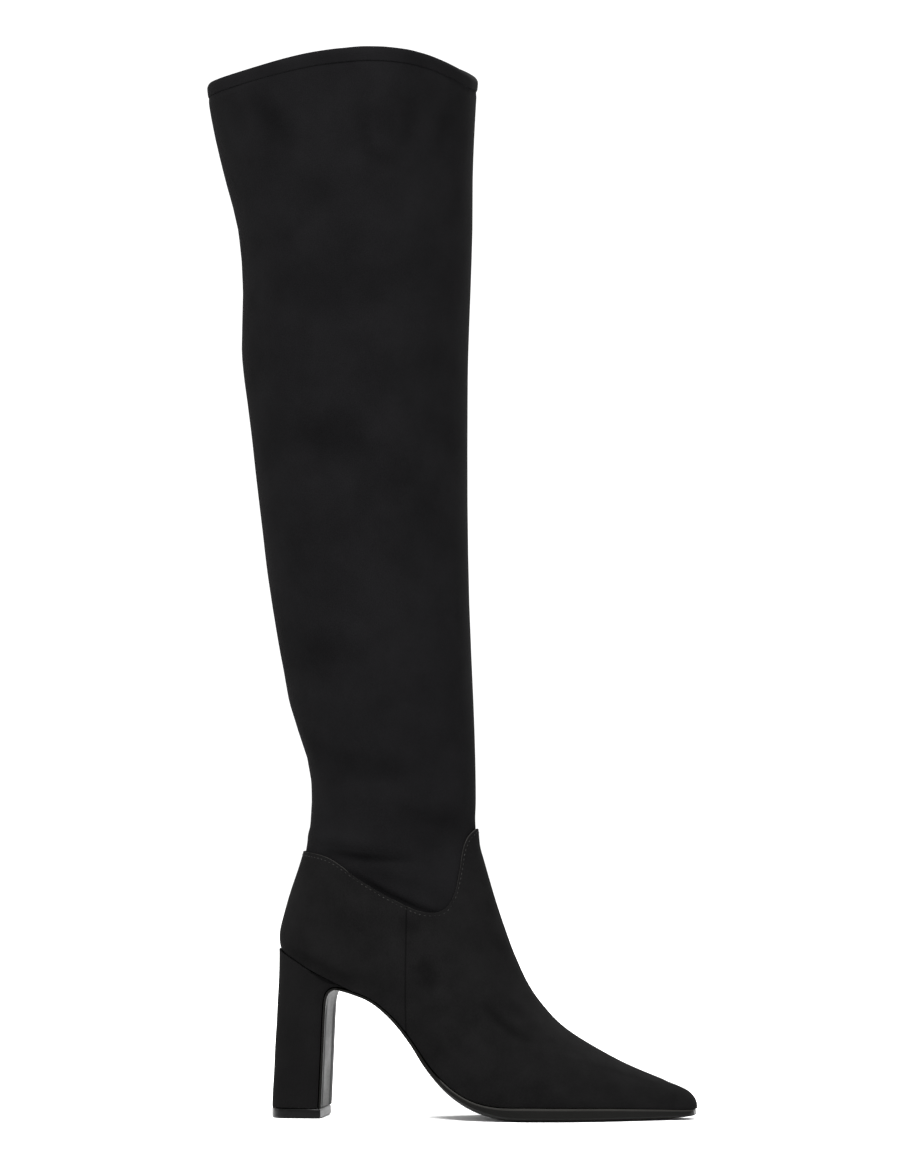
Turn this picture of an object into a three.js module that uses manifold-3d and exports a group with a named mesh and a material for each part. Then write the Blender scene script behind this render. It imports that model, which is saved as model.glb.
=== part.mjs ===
// A thigh high boot for the right foot, in millimetres.
// X runs from the back of the seat to the toe, Y to the inner side of the leg, Z up from the floor.
import * as THREE from "three";
import { mergeVertices } from "three/addons/utils/BufferGeometryUtils.js";
import Module from "manifold-3d";

const wasm = await Module();
wasm.setup();

// Driving sizes of the foot
const SHOE_LENGTH = 236; // level length, back of the seat to the tip of the toe
const HEEL_HEIGHT = 95; // floor to the back of the seat
const FOOT_HEIGHT = 75; // back of the seat to the narrow place of the ankle
const BALL_WIDTH = 80; // across the last at the ball
const TOE_SPRING = 3.2; // floor to the sole under the tip of the toe

// Driving sizes of the leg, over the outside of the shaft
const SHAFT_HEIGHT = 416; // narrow place of the ankle to the middle of the rim
const ANKLE_DEPTH = 92.4;
const ANKLE_WIDTH = 72;
const CALF_DEPTH = 117;
const CALF_WIDTH = 108;
const KNEE_DEPTH = 128;
const KNEE_WIDTH = 118;
const RIM_DEPTH = 152;
const RIM_WIDTH = 142;
const RIM_RISE = 14.6; // how far the sides of the rim stand above its front and back

// Walls and joints
const UPPER_WALL = 1.2;
const SHAFT_WALL = 1.2;
const HEM_HEIGHT = 8;
const HEM_STEP = 1; // how far the turned hem stands out from the shaft
const SEAM_LAP = 5; // how far the shaft runs down inside the upper
const INSOLE_THICKNESS = 2;
const CLEARANCE = 0.3; // between pieces that meet

// Sole and heel
const SOLE_THICKNESS = 7.8; // under the ball
const SOLE_EDGE = 0.4; // how far the sole stands out past the upper
const EDGE_BEVEL_WIDTH = 3;
const EDGE_BEVEL_HEIGHT = 2.2;
const HEEL_WIDTH = 42.8;
const HEEL_DEPTH = 30;
const LIFT_HEIGHT = 5.5;
const LIFT_BEVEL = 0.8;

// How finely the curved faces are divided
const AROUND = 34;
const ROWS_PER_SECTION = 2;
const STATIONS_PER_POINT = 3;
const HEEL_BACK_STEPS = 20;
const HEEL_SLICES = 10;

// Sections of the last, from the toe to the ankle. Each one is a slice between a point of the top line
// and a point below the sole line. A place along is a share of SHOE_LENGTH, and for the top point a
// share of ANKLE_DEPTH more. A height is a share of HEEL_HEIGHT plus a share of FOOT_HEIGHT. Lateral
// and medial are half widths, in shares of a width that goes from BALL_WIDTH to ANKLE_WIDTH as the
// section climbs, and swing is how far the slice stands to the inner side, in the same share. Level is
// where it is widest, as a share of the way from its low end to its top. A power of 2 is an ellipse,
// and a higher one is boxier.
const FOOT_COLUMNS = [
  "topAlong", "topAnkle", "topHeel", "topFoot", "lowAlong", "lowHeel", "lowFoot",
  "lateral", "medial", "swing", "level", "topPower", "lowPower",
];
const FOOT_SECTIONS = [
  [0.994, 0.00, 0.00, 0.115, 0.994, 0.00, -0.04, 0.060, 0.056, 0.055, 0.70, 2.2, 2.4],
  [0.991, 0.00, 0.00, 0.150, 0.991, 0.00, -0.04, 0.080, 0.076, 0.055, 0.66, 2.2, 2.4],
  [0.983, 0.00, 0.00, 0.190, 0.982, 0.00, -0.04, 0.098, 0.094, 0.055, 0.60, 2.1, 2.5],
  [0.957, 0.00, 0.00, 0.231, 0.953, 0.00, -0.03, 0.132, 0.127, 0.052, 0.54, 2.0, 2.6],
  [0.886, 0.00, 0.00, 0.317, 0.876, 0.00, -0.02, 0.250, 0.225, 0.045, 0.45, 1.95, 2.7],
  [0.821, 0.00, 0.00, 0.405, 0.802, 0.00, 0.00, 0.365, 0.320, 0.033, 0.40, 1.9, 2.7],
  [0.749, 0.00, 0.00, 0.528, 0.715, 0.00, 0.00, 0.455, 0.430, 0.020, 0.35, 1.85, 2.7],
  [0.677, 0.00, 0.00, 0.675, 0.610, 0.00, 0.00, 0.505, 0.490, 0.006, 0.33, 1.8, 2.7],
  [0.547, 0.20, 0.15, 0.663, 0.504, 0.01, 0.00, 0.495, 0.455, -0.006, 0.34, 1.8, 2.6],
  [0.432, 0.40, 0.30, 0.656, 0.432, 0.05, -0.02, 0.465, 0.400, -0.010, 0.36, 1.8, 2.5],
  [0.316, 0.60, 0.45, 0.750, 0.367, 0.23, -0.05, 0.420, 0.370, -0.008, 0.38, 1.85, 2.5],
  [0.224, 0.75, 0.60, 0.857, 0.292, 0.50, -0.04, 0.390, 0.365, -0.004, 0.38, 1.9, 2.6],
  [0.145, 0.88, 0.75, 0.968, 0.165, 0.71, -0.02, 0.388, 0.378, 0.000, 0.36, 2.0, 3.0],
  [0.109, 0.95, 0.85, 0.930, 0.078, 0.83, -0.04, 0.392, 0.388, 0.000, 0.34, 2.0, 3.3],
  [0.094, 0.98, 0.92, 0.935, 0.012, 1.00, 0.02, 0.402, 0.402, 0.000, 0.33, 2.0, 2.7],
  [0.084, 1.00, 0.97, 0.960, 0.018, 1.00, 0.22, 0.425, 0.425, 0.000, 0.36, 2.0, 2.35],
  [0.083, 1.00, 1.00, 0.965, 0.040, 1.00, 0.46, 0.450, 0.450, 0.000, 0.40, 2.0, 2.25],
  [0.083, 1.00, 1.00, 1.015, 0.068, 1.00, 0.72, 0.475, 0.475, 0.000, 0.44, 2.0, 2.2],
];
const SHAFT_SECTIONS_IN_FOOT = 8; // how many of these, the last ones, carry the low end of the shaft
const TOE_FOLLOW = [1, 0.8, 0.5]; // how much of a wall's offset the first slices take forwards

// Sections of the leg, level slices. Up is a share of SHAFT_HEIGHT. The front of a slice is an ankle
// depth plus a share of SHOE_LENGTH. The next four columns are shares of the named depths and widths,
// dome is the share of the rim's curve that the slice has, and hem is how many hem heights it lies
// below the rim.
const LEG_COLUMNS = ["up", "front", "ankle", "calf", "knee", "rim", "dome", "hem", "level"];
const LEG_SECTIONS = [
  [0.015, 0.0830, 1.00, 0.00, 0.00, 0.00, 0.00, 0, 0.46],
  [0.075, 0.0815, 0.90, 0.10, 0.00, 0.00, 0.00, 0, 0.47],
  [0.150, 0.0765, 0.54, 0.46, 0.00, 0.00, 0.00, 0, 0.48],
  [0.280, 0.0665, 0.25, 0.75, 0.00, 0.00, 0.00, 0, 0.48],
  [0.415, 0.0620, 0.00, 1.00, 0.00, 0.00, 0.00, 0, 0.48],
  [0.550, 0.0620, 0.00, 0.40, 0.60, 0.00, 0.00, 0, 0.49],
  [0.620, 0.0635, 0.00, 0.05, 0.95, 0.00, 0.00, 0, 0.49],
  [0.705, 0.0690, 0.00, 0.00, 1.00, 0.00, 0.05, 0, 0.50],
  [0.790, 0.0735, 0.00, 0.00, 0.85, 0.15, 0.25, 0, 0.50],
  [0.860, 0.0740, 0.00, 0.00, 0.56, 0.44, 0.50, 0, 0.50],
  [0.930, 0.0780, 0.00, 0.00, 0.25, 0.75, 0.80, 0, 0.50],
  [1.000, 0.0825, 0.00, 0.00, 0.05, 0.95, 1.00, 1, 0.50],
  [1.000, 0.0845, 0.00, 0.00, 0.00, 1.00, 1.00, 0, 0.50],
];
const LEG_POWER = 2.1;

// The line that the sole's underside follows in side view: down the front of the heel, round its
// corner, along the arch to the ball and up to the toe. A place along is a share of SHOE_LENGTH plus a
// share of HEEL_DEPTH. A height is a share of HEEL_HEIGHT plus a share of TOE_SPRING. Thick is a share
// of SOLE_THICKNESS and bevel a share of the edge's bevel.
const SOLE_COLUMNS = ["along", "depth", "heel", "spring", "thick", "bevel"];
const SOLE_LINE = [
  [0.000, 0.913, 0.061, 0.00, 0.19, 0.1],
  [0.000, 0.940, 0.240, 0.00, 0.19, 0.1],
  [0.000, 0.976, 0.500, 0.00, 0.19, 0.1],
  [0.000, 1.000, 0.650, 0.00, 0.19, 0.1],
  [0.002, 1.016, 0.716, 0.00, 0.19, 0.1],
  [0.015, 0.983, 0.747, 0.00, 0.19, 0.1],
  [0.042, 0.897, 0.757, 0.00, 0.19, 0.1],
  [0.132, 0.500, 0.730, 0.00, 0.20, 0.1],
  [0.202, 0.300, 0.683, 0.00, 0.22, 0.1],
  [0.273, 0.100, 0.585, 0.00, 0.24, 0.1],
  [0.331, 0.000, 0.443, 0.00, 0.28, 0.2],
  [0.367, 0.000, 0.306, 0.00, 0.34, 0.3],
  [0.415, 0.000, 0.172, 0.00, 0.48, 0.6],
  [0.470, 0.000, 0.077, 0.00, 0.62, 0.9],
  [0.525, 0.000, 0.024, 0.00, 0.80, 1.0],
  [0.585, 0.000, 0.000, 0.00, 1.00, 1.0],
  [0.680, 0.000, 0.000, 0.00, 1.00, 1.0],
  [0.800, 0.000, 0.000, 0.00, 0.96, 1.0],
  [0.870, 0.000, 0.000, 0.13, 0.82, 0.9],
  [0.930, 0.000, 0.000, 0.42, 0.63, 0.7],
  [0.970, 0.000, 0.000, 0.72, 0.45, 0.5],
  [0.996, 0.000, 0.000, 1.00, 0.32, 0.4],
];
const BREAST_POINTS = 6; // how many points of the sole line lie on the heel

// The seat behind the sole line, where the upper stands on the heel itself, in the same shares
const SEAT_COLUMNS = ["along", "depth", "heel"];
const SEAT_LINE = [
  [-0.100, 0.000, 1.125],
  [0.000, 0.000, 1.000],
  [0.030, 0.157, 0.934],
  [0.040, 0.340, 0.884],
  [0.045, 0.566, 0.840],
  [0.060, 0.725, 0.798],
];
const SEAT_TO_WAIST = 4; // level step from the end of the seat to the start of the waist

// The lapped seam at the ankle, from the back to the front. Reach is a share of ANKLE_DEPTH in front
// of the seam's back, and foot a share of FOOT_HEIGHT above the seat.
const SEAM_BACK_SHARE = 0.06; // of SHOE_LENGTH
const SEAM_COLUMNS = ["reach", "foot"];
const SEAM_LINE = [
  [-0.410, 0.73],
  [0.000, 0.72],
  [0.150, 0.70],
  [0.250, 0.65],
  [0.370, 0.54],
  [0.523, 0.42],
  [0.664, 0.33],
  [0.753, 0.285],
  [0.842, 0.275],
  [0.914, 0.31],
  [0.965, 0.43],
  [0.988, 0.60],
  [1.003, 0.75],
  [1.039, 0.85],
  [1.103, 0.91],
  [1.225, 0.93],
];

// Level slices of the heel. Up is a share of HEEL_HEIGHT, back and round are shares of HEEL_DEPTH,
// half is a share of HEEL_WIDTH, and power is the boxiness of the rounded back.
const HEEL_COLUMNS = ["up", "back", "half", "round", "power"];
const HEEL_SECTIONS = [
  [0.061, -0.087, 0.500, 0.42, 2.6],
  [0.350, -0.040, 0.500, 0.44, 2.6],
  [0.650, 0.010, 0.503, 0.48, 2.6],
  [0.800, 0.030, 0.530, 0.60, 2.4],
  [0.900, 0.036, 0.580, 0.80, 2.2],
  [1.080, 0.036, 0.600, 0.86, 2.1],
];

const WORLD = 1200; // longer than anything in the model

// Table reading and smooth curves

function readTable(columns, rows) {
  return rows.map((row) => Object.fromEntries(columns.map((name, i) => [name, row[i]])));
}

function smoothNumber(a, b, c, d, t) {
  const slopeIn = (c - a) / 2;
  const slopeOut = (d - b) / 2;
  const t2 = t * t;
  const t3 = t2 * t;
  return (
    (2 * t3 - 3 * t2 + 1) * b +
    (t3 - 2 * t2 + t) * slopeIn +
    (3 * t2 - 2 * t3) * c +
    (t3 - t2) * slopeOut
  );
}

// A smooth row of the table at a place between two of its rows.
function smoothRow(rows, place) {
  const last = rows.length - 1;
  const start = Math.min(Math.floor(place), last - 1);
  const near = [start - 1, start, start + 1, start + 2].map((i) => rows[Math.max(0, Math.min(last, i))]);
  const row = {};
  for (const name of Object.keys(rows[0])) {
    row[name] = smoothNumber(...near.map((r) => r[name]), place - start);
  }
  return row;
}

function smoothRows(rows, perRow) {
  const count = (rows.length - 1) * perRow;
  return Array.from({ length: count + 1 }, (_, i) => smoothRow(rows, i / perRow));
}

// A side view curve moved sideways by a distance that each point states.
function offsetCurve(points, distanceOf) {
  return points.map((point, i) => {
    const before = points[Math.max(0, i - 1)];
    const after = points[Math.min(points.length - 1, i + 1)];
    const run = new THREE.Vector2().subVectors(after, before).normalize();
    const distance = distanceOf(i);
    return new THREE.Vector2(point.x - run.y * distance, point.y + run.x * distance);
  });
}

function heightOn(curve, x) {
  let i = 0;
  while (i < curve.length - 2 && curve[i + 1].x < x) i += 1;
  const share = (x - curve[i].x) / (curve[i + 1].x - curve[i].x);
  return curve[i].y + share * (curve[i + 1].y - curve[i].y);
}

// Solids

function toSolid(geometry) {
  const bare = new THREE.BufferGeometry();
  bare.setAttribute("position", geometry.getAttribute("position"));
  bare.setIndex(geometry.getIndex());
  const merged = mergeVertices(bare, 1e-4);
  return new wasm.Manifold(
    new wasm.Mesh({
      numProp: 3,
      vertProperties: new Float32Array(merged.getAttribute("position").array),
      triVerts: new Uint32Array(merged.getIndex().array),
    }),
  );
}

function toGeometry(solid) {
  const mesh = solid.getMesh();
  const geometry = new THREE.BufferGeometry();
  geometry.setAttribute("position", new THREE.BufferAttribute(new Float32Array(mesh.vertProperties), 3));
  geometry.setIndex(new THREE.BufferAttribute(new Uint32Array(mesh.triVerts), 1));
  const flat = geometry.toNonIndexed();
  flat.computeVertexNormals();
  return flat;
}

// A skin over a list of loops with the same number of points. With caps it is a closed bar. Without
// caps the last loop joins the first, which gives a closed ring.
function loftGeometry(loops, capped) {
  const size = loops[0].length;
  const positions = loops.flat().flatMap((p) => [p.x, p.y, p.z]);
  const index = [];
  const bands = capped ? loops.length - 1 : loops.length;
  for (let i = 0; i < bands; i += 1) {
    const here = i * size;
    const next = ((i + 1) % loops.length) * size;
    for (let k = 0; k < size; k += 1) {
      const side = (k + 1) % size;
      index.push(here + k, next + side, next + k);
      index.push(here + k, here + side, next + side);
    }
  }
  if (capped) {
    for (const [loop, turn] of [[0, false], [loops.length - 1, true]]) {
      const middle = loops[loop].reduce((sum, p) => sum.add(p), new THREE.Vector3());
      middle.divideScalar(size);
      const hub = positions.length / 3;
      positions.push(middle.x, middle.y, middle.z);
      for (let k = 0; k < size; k += 1) {
        const a = loop * size + k;
        const b = loop * size + ((k + 1) % size);
        index.push(hub, ...(turn ? [a, b] : [b, a]));
      }
    }
  }
  const geometry = new THREE.BufferGeometry();
  geometry.setAttribute("position", new THREE.Float32BufferAttribute(positions, 3));
  geometry.setIndex(index);
  return geometry;
}

function loft(loops, capped = true) {
  return toSolid(loftGeometry(loops, capped));
}

// A side view outline drawn across the whole width of the boot.
function sidePrism(outline) {
  const geometry = new THREE.ExtrudeGeometry(new THREE.Shape(outline), {
    depth: WORLD,
    bevelEnabled: false,
  });
  geometry.rotateX(Math.PI / 2);
  geometry.translate(0, WORLD / 2, 0);
  return toSolid(geometry);
}

function everythingAbove(curve) {
  return sidePrism([
    ...curve,
    new THREE.Vector2(curve.at(-1).x + WORLD, curve.at(-1).y),
    new THREE.Vector2(curve.at(-1).x + WORLD, WORLD),
    new THREE.Vector2(curve[0].x - WORLD, WORLD),
    new THREE.Vector2(curve[0].x - WORLD, curve[0].y),
  ]);
}

function everythingBelow(curve) {
  return sidePrism([
    ...curve,
    new THREE.Vector2(curve.at(-1).x + WORLD, curve.at(-1).y),
    new THREE.Vector2(curve.at(-1).x + WORLD, -WORLD),
    new THREE.Vector2(curve[0].x - WORLD, -WORLD),
    new THREE.Vector2(curve[0].x - WORLD, curve[0].y),
  ]);
}

// The form: the last inside the foot, and the outside of the shaft above it

function footForm(row) {
  const width = THREE.MathUtils.lerp(BALL_WIDTH, ANKLE_WIDTH, row.topHeel);
  return {
    topX: row.topAlong * SHOE_LENGTH + row.topAnkle * ANKLE_DEPTH,
    topZ: row.topHeel * HEEL_HEIGHT + row.topFoot * FOOT_HEIGHT,
    lowX: row.lowAlong * SHOE_LENGTH,
    lowZ: row.lowHeel * HEEL_HEIGHT + row.lowFoot * FOOT_HEIGHT,
    lateral: row.lateral * width,
    medial: row.medial * width,
    swing: row.swing * width,
    level: row.level,
    topPower: row.topPower,
    lowPower: row.lowPower,
    dome: 0,
  };
}

function legForm(row) {
  const depth =
    row.ankle * ANKLE_DEPTH + row.calf * CALF_DEPTH + row.knee * KNEE_DEPTH + row.rim * RIM_DEPTH;
  const width =
    row.ankle * ANKLE_WIDTH + row.calf * CALF_WIDTH + row.knee * KNEE_WIDTH + row.rim * RIM_WIDTH;
  const front = row.front * SHOE_LENGTH + ANKLE_DEPTH;
  const height = HEEL_HEIGHT + FOOT_HEIGHT + row.up * SHAFT_HEIGHT - row.hem * HEM_HEIGHT;
  return {
    topX: front,
    topZ: height,
    lowX: front - depth,
    lowZ: height,
    lateral: width / 2,
    medial: width / 2,
    swing: 0,
    level: row.level,
    topPower: LEG_POWER,
    lowPower: LEG_POWER,
    dome: row.dome,
  };
}

// The rim's height round the leg: high on both sides, higher towards the front.
function rimCurve(angle) {
  const lean = 0.37 * Math.cos(angle);
  const saddle = -0.5 * Math.cos(2 * angle);
  const shoulder = -0.22 * Math.cos(3 * angle);
  return RIM_RISE * (lean + saddle + shoulder);
}

function bend(value, power) {
  return Math.sign(value) * Math.abs(value) ** (2 / power);
}

// The outline of one slice of the form, moved out by an offset and up by a rise.
function slice(form, offset, rise = 0) {
  const low = new THREE.Vector2(form.lowX, form.lowZ);
  const run = new THREE.Vector2(form.topX - form.lowX, form.topZ - form.lowZ);
  const length = run.length() + 2 * offset;
  run.normalize();
  low.addScaledVector(run, -offset);
  return Array.from({ length: AROUND }, (_, i) => {
    const angle = (2 * Math.PI * i) / AROUND;
    const isTop = Math.cos(angle) >= 0;
    const power = isTop ? form.topPower : form.lowPower;
    const reach = isTop ? 1 - form.level : form.level;
    const share = form.level + reach * bend(Math.cos(angle), power);
    const half = (Math.sin(angle) >= 0 ? form.medial : form.lateral) + offset;
    return new THREE.Vector3(
      low.x + run.x * length * share,
      form.swing + half * bend(Math.sin(angle), power),
      low.y + run.y * length * share + form.dome * rimCurve(angle) + rise,
    );
  });
}

const footForms = readTable(FOOT_COLUMNS, FOOT_SECTIONS).map(footForm);
const legForms = readTable(LEG_COLUMNS, LEG_SECTIONS).map(legForm);
const forms = smoothRows([...footForms, ...legForms], ROWS_PER_SECTION);
const FIRST_LEG_FORM = footForms.length * ROWS_PER_SECTION;
const FIRST_SHAFT_FORM = (footForms.length - SHAFT_SECTIONS_IN_FOOT) * ROWS_PER_SECTION;
const HEM_FORM = forms.length - 1 - ROWS_PER_SECTION;

// The foot end of the form as a solid, its toe moved out with the rest.
function footSolid(offset) {
  const loops = forms.slice(0, FIRST_LEG_FORM + ROWS_PER_SECTION).map((form) => slice(form, offset));
  TOE_FOLLOW.forEach((share, i) => loops[i].forEach((point) => (point.x += share * offset)));
  return loft(loops);
}

// Side view lines

const soleRows = smoothRows(readTable(SOLE_COLUMNS, SOLE_LINE), STATIONS_PER_POINT);
const soleUnder = soleRows.map((row) => {
  const height = row.heel * HEEL_HEIGHT + row.spring * TOE_SPRING;
  return new THREE.Vector2(row.along * SHOE_LENGTH + row.depth * HEEL_DEPTH, Math.max(0, height));
});
soleUnder[0].y = LIFT_HEIGHT + CLEARANCE;
const soleTop = offsetCurve(soleUnder, (i) => soleRows[i].thick * SOLE_THICKNESS);
const LAST_BREAST_ROW = BREAST_POINTS * STATIONS_PER_POINT;

const seatPoints = smoothRows(readTable(SEAT_COLUMNS, SEAT_LINE), STATIONS_PER_POINT).map(
  (row) => new THREE.Vector2(row.along * SHOE_LENGTH + row.depth * HEEL_DEPTH, row.heel * HEEL_HEIGHT),
);
const waistPoints = soleTop.slice(LAST_BREAST_ROW).filter(
  (p) => p.x > seatPoints.at(-1).x + SEAT_TO_WAIST,
);
const bed = [...seatPoints, ...waistPoints];
const bedAbove = offsetCurve(bed, () => CLEARANCE);
const insoleTop = offsetCurve(bed, () => CLEARANCE + INSOLE_THICKNESS);

const seam = smoothRows(readTable(SEAM_COLUMNS, SEAM_LINE), STATIONS_PER_POINT).map((row) => {
  const along = SEAM_BACK_SHARE * SHOE_LENGTH + row.reach * ANKLE_DEPTH;
  return new THREE.Vector2(along, HEEL_HEIGHT + row.foot * FOOT_HEIGHT);
});
const shaftEnd = offsetCurve(seam, () => -SEAM_LAP);

// The edge of the upper on the sole, as half widths on each side along the length

const UPPER_OFFSET = CLEARANCE + UPPER_WALL;

function featherPoints(side) {
  const points = [];
  for (const form of forms.slice(0, FIRST_LEG_FORM)) {
    const loop = slice(form, UPPER_OFFSET).filter((p) => Math.sign(p.y - form.swing) === side);
    loop.sort((a, b) => b.z - a.z);
    for (let i = 0; i < loop.length - 1; i += 1) {
      const above = loop[i].z - heightOn(bed, loop[i].x);
      const below = loop[i + 1].z - heightOn(bed, loop[i + 1].x);
      if (above >= 0 && below < 0) {
        const cross = loop[i].clone().lerp(loop[i + 1], above / (above - below));
        points.push(new THREE.Vector2(cross.x, side * cross.y));
        break;
      }
    }
  }
  return points.sort((a, b) => a.x - b.x);
}

const feather = { lateral: featherPoints(-1), medial: featherPoints(1) };

function heelRow(height) {
  const rows = readTable(HEEL_COLUMNS, HEEL_SECTIONS);
  const share = height / HEEL_HEIGHT;
  let i = 0;
  while (i < rows.length - 2 && rows[i + 1].up < share) i += 1;
  const t = THREE.MathUtils.clamp((share - rows[i].up) / (rows[i + 1].up - rows[i].up), 0, 1);
  const ease = t * t * (3 - 2 * t);
  const row = {};
  for (const name of HEEL_COLUMNS) {
    row[name] = THREE.MathUtils.lerp(rows[i][name], rows[i + 1][name], ease);
  }
  return row;
}

// The level outline of the heel: a rounded back and straight sides that run forward to a given place.
function heelLoop(height, front, inset = 0) {
  const row = heelRow(height);
  const back = row.back * HEEL_DEPTH + inset;
  const half = row.half * HEEL_WIDTH - inset;
  const round = row.round * HEEL_DEPTH;
  const loop = [];
  for (let i = 0; i <= HEEL_BACK_STEPS; i += 1) {
    const angle = (Math.PI * i) / HEEL_BACK_STEPS;
    const x = back + round * (1 - bend(Math.sin(angle), row.power));
    loop.push(new THREE.Vector3(x, half * bend(Math.cos(angle), row.power), height));
  }
  loop.push(new THREE.Vector3(front - inset, -half, height));
  loop.push(new THREE.Vector3(front - inset, half, height));
  return loop;
}

// Pieces

function makeUpper() {
  return footSolid(UPPER_OFFSET)
    .subtract(footSolid(CLEARANCE))
    .subtract(everythingBelow(bedAbove))
    .subtract(everythingAbove(seam));
}

function makeShaft() {
  const body = forms.slice(FIRST_SHAFT_FORM, HEM_FORM + 1);
  const hem = forms[HEM_FORM];
  const rim = forms.at(-1);
  const round = SHAFT_WALL / 2;
  const outside = body.map((form) => slice(form, 0));
  const turned = [
    slice(hem, HEM_STEP, round),
    slice(rim, HEM_STEP, -round),
    slice(rim, HEM_STEP - round, 0),
    slice(rim, round - SHAFT_WALL, 0),
    slice(rim, -SHAFT_WALL, -round),
  ];
  const inside = body.map((form) => slice(form, -SHAFT_WALL)).reverse();
  return loft([...outside, ...turned, ...inside], false).subtract(everythingBelow(shaftEnd));
}

function makeInsole() {
  return footSolid(0).subtract(everythingBelow(bedAbove)).subtract(everythingAbove(insoleTop));
}

function soleHalf(i, side) {
  const heelHalf = heelRow(soleUnder[i].y).half * HEEL_WIDTH;
  if (i <= LAST_BREAST_ROW) return heelHalf;
  return heightOn(feather[side], soleTop[i].x) + SOLE_EDGE;
}

function makeOutsole() {
  const stations = soleUnder.map((under, i) => {
    const top = soleTop[i];
    const bevel = soleRows[i].bevel;
    const up = top.clone().sub(under).normalize();
    const edge = under.clone().addScaledVector(up, bevel * EDGE_BEVEL_HEIGHT);
    const medial = soleHalf(i, "medial");
    const lateral = soleHalf(i, "lateral");
    const inset = bevel * EDGE_BEVEL_WIDTH;
    return [
      new THREE.Vector3(under.x, medial - inset, under.y),
      new THREE.Vector3(edge.x, medial, edge.y),
      new THREE.Vector3(top.x, medial, top.y),
      new THREE.Vector3(top.x, -lateral, top.y),
      new THREE.Vector3(edge.x, -lateral, edge.y),
      new THREE.Vector3(under.x, inset - lateral, under.y),
    ];
  });
  return loft(stations);
}

function makeHeel() {
  const front = soleUnder[LAST_BREAST_ROW].x + HEEL_DEPTH;
  const low = LIFT_HEIGHT + CLEARANCE;
  const high = HEEL_SECTIONS.at(-1)[0] * HEEL_HEIGHT;
  const step = (high - low) / HEEL_SLICES;
  const loops = Array.from({ length: HEEL_SLICES + 1 }, (_, i) => heelLoop(low + step * i, front));
  const breast = offsetCurve(soleUnder, (i) => soleRows[i].thick * SOLE_THICKNESS + CLEARANCE);
  const forward = breast.slice(0, LAST_BREAST_ROW + 2 * STATIONS_PER_POINT);
  const inFront = sidePrism([
    new THREE.Vector2(forward[0].x, -WORLD),
    ...forward,
    new THREE.Vector2(WORLD, forward.at(-1).y),
    new THREE.Vector2(WORLD, -WORLD),
  ]);
  return loft(loops).subtract(everythingAbove(bed)).subtract(inFront);
}

function makeTopLift() {
  const front = soleUnder[0].x;
  return loft([
    heelLoop(LIFT_HEIGHT, front, LIFT_BEVEL).map((p) => p.setZ(0)),
    heelLoop(LIFT_HEIGHT, front).map((p) => p.setZ(LIFT_BEVEL)),
    heelLoop(LIFT_HEIGHT, front),
  ]);
}

// Colours and finishes

const suede = { color: 0x1c1c1d, roughness: 0.95, metalness: 0 };
const finishes = {
  upper: suede,
  shaft: { color: 0x1a1a1b, roughness: 0.97, metalness: 0 },
  outsole: { color: 0x232220, roughness: 0.35, metalness: 0 },
  heel: suede,
  top_lift: { color: 0x202020, roughness: 0.5, metalness: 0 },
  insole: { color: 0x2b2725, roughness: 0.7, metalness: 0 },
};

const makers = {
  upper: makeUpper,
  shaft: makeShaft,
  outsole: makeOutsole,
  heel: makeHeel,
  top_lift: makeTopLift,
  insole: makeInsole,
};

const pieces = new THREE.Group();
for (const [name, make] of Object.entries(makers)) {
  const mesh = new THREE.Mesh(toGeometry(make()), new THREE.MeshStandardMaterial(finishes[name]));
  mesh.name = name;
  pieces.add(mesh);
}

// The boot's own origin: the middle of its box, on the floor.
const box = new THREE.Box3().setFromObject(pieces);
const middle = box.getCenter(new THREE.Vector3());
pieces.position.set(-middle.x, -middle.y, -box.min.z);

const boot = new THREE.Group();
boot.add(pieces);

export default boot;
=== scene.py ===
# %% [markdown]
# A thigh high boot in black imitation suede. Its solids are already there, at their real size, and this
# lesson dresses them: a soft foot part and a stretch shaft with folds, a turned hem, stitches, a block
# heel and a polished sole. Everything is in metres, with X towards the toe and Y to the inner side.

# %% Tools and frame
import math

import bmesh
import bpy
import numpy as np
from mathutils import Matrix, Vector
from mathutils.bvhtree import BVHTree


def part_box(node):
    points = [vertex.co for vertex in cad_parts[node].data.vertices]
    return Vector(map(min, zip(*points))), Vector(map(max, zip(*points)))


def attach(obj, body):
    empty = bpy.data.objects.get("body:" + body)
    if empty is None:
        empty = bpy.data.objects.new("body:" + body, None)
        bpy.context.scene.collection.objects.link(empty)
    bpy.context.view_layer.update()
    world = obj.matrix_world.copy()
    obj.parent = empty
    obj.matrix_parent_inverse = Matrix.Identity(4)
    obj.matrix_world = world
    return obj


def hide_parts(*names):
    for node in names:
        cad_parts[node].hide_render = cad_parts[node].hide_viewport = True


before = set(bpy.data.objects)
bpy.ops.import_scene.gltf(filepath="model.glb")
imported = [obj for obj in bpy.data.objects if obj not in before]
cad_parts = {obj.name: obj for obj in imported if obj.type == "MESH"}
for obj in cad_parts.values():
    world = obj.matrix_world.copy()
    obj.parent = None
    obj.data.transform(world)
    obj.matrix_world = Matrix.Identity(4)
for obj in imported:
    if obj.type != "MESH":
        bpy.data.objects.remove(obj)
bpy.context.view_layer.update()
MM = 0.001
print("solids:", sorted(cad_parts))

# %% [markdown]
# The camera stands far off with a long lens, a little towards the toe, so that the front of the heel
# just shows. It looks level at the middle of the boot's height. It comes first, because every choice
# of detail below is judged through it.

# %% Camera
PHOTO_HEIGHT = 1176
FOCAL_PIXELS = 8035.7
SENSOR_HEIGHT = 24.0
CAMERA_TARGET = Vector((-0.0003, 0.0, 0.2965))
CAMERA_DISTANCE = 4.5
CAMERA_TURN = math.radians(7.6)

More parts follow.
